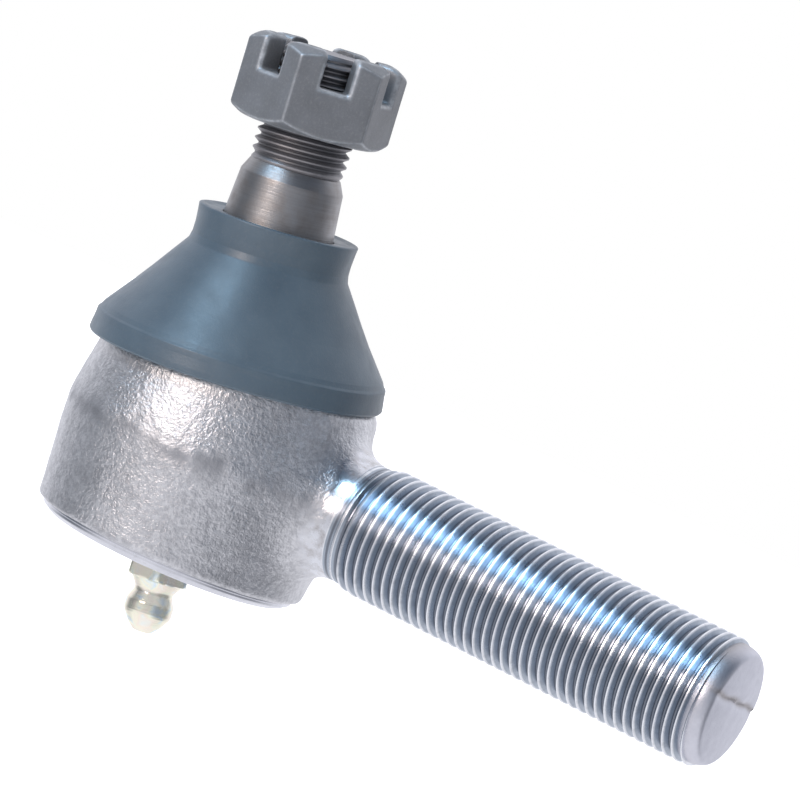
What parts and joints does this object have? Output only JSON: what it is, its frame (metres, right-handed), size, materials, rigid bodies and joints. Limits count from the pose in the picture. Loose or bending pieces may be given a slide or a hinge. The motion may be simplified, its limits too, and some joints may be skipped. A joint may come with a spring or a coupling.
{
  "type": "tie rod end",
  "caption": "Greasable outer tie rod end: ball stud with slotted nut in a forged socket under a rubber boot, with a male left-hand threaded shank.",
  "frame": {"origin": "centre of the stud's ball, on the socket's own axis", "axes": "+X out along the threaded shank, +Z along the socket's axis towards the stud's side"},
  "size_m": [0.1012, 0.0411, 0.0819],
  "materials": {
    "zinc_forging": "bright zinc plate on a rough forging, machined thread",
    "bearing_steel": "sintered steel, oiled",
    "spring_steel": "bright spring steel",
    "seal_rubber": "black rubber",
    "cover_zinc": "zinc-plated pressed steel",
    "yellow_zinc": "yellow passivated zinc",
    "ground_steel": "ground steel",
    "phosphate_steel": "dull grey phosphate",
    "boot_rubber": "satin blue-grey rubber"
  },
  "bodies": {
    "socket": {"socket_forging": "zinc_forging", "upper_bearing": "bearing_steel", "preload_spring": "spring_steel", "cover_seal": "seal_rubber", "cover_plate": "cover_zinc", "grease_fitting": "yellow_zinc", "fitting_spring": "spring_steel"},
    "bearing": {"lower_bearing": "bearing_steel"},
    "check_ball": {"fitting_ball": "spring_steel"},
    "boot": {"dust_boot": "boot_rubber"},
    "collar": {"collar_ring": "bearing_steel"},
    "stud": {"ball_stud": "ground_steel", "slotted_nut": "phosphate_steel"}
  },
  "joints": [
    {"name": "stud_tilt_x", "type": "hinge", "parent": "socket", "child": "boot", "pos_m": [0, 0, 0], "axis": [1, 0, 0], "range_deg": [-23, 13], "deforming": ["dust_boot"]},
    {"name": "stud_tilt_y", "type": "hinge", "parent": "boot", "child": "collar", "pos_m": [0, 0, 0], "axis": [0, 1, 0], "range_deg": [-13, 23]},
    {"name": "stud_spin", "type": "hinge", "parent": "collar", "child": "stud", "pos_m": [0, 0, 0], "axis": [-0.0868, -0.0872, 0.9924], "continuous": true},
    {"name": "bearing_follow", "type": "slide", "parent": "socket", "child": "bearing", "axis": [0, 0, 1], "range_m": [-0.0005, 0], "stiffness_N_per_m": 12000, "springref_m": 0.0005, "deforming": ["preload_spring"]},
    {"name": "check_ball_slide", "type": "slide", "parent": "socket", "child": "check_ball", "axis": [-0.1219, 0, 0.9925], "range_m": [0, 0.0008], "stiffness_N_per_m": 200, "springref_m": -0.0005, "deforming": ["fitting_spring"]}
  ]
}
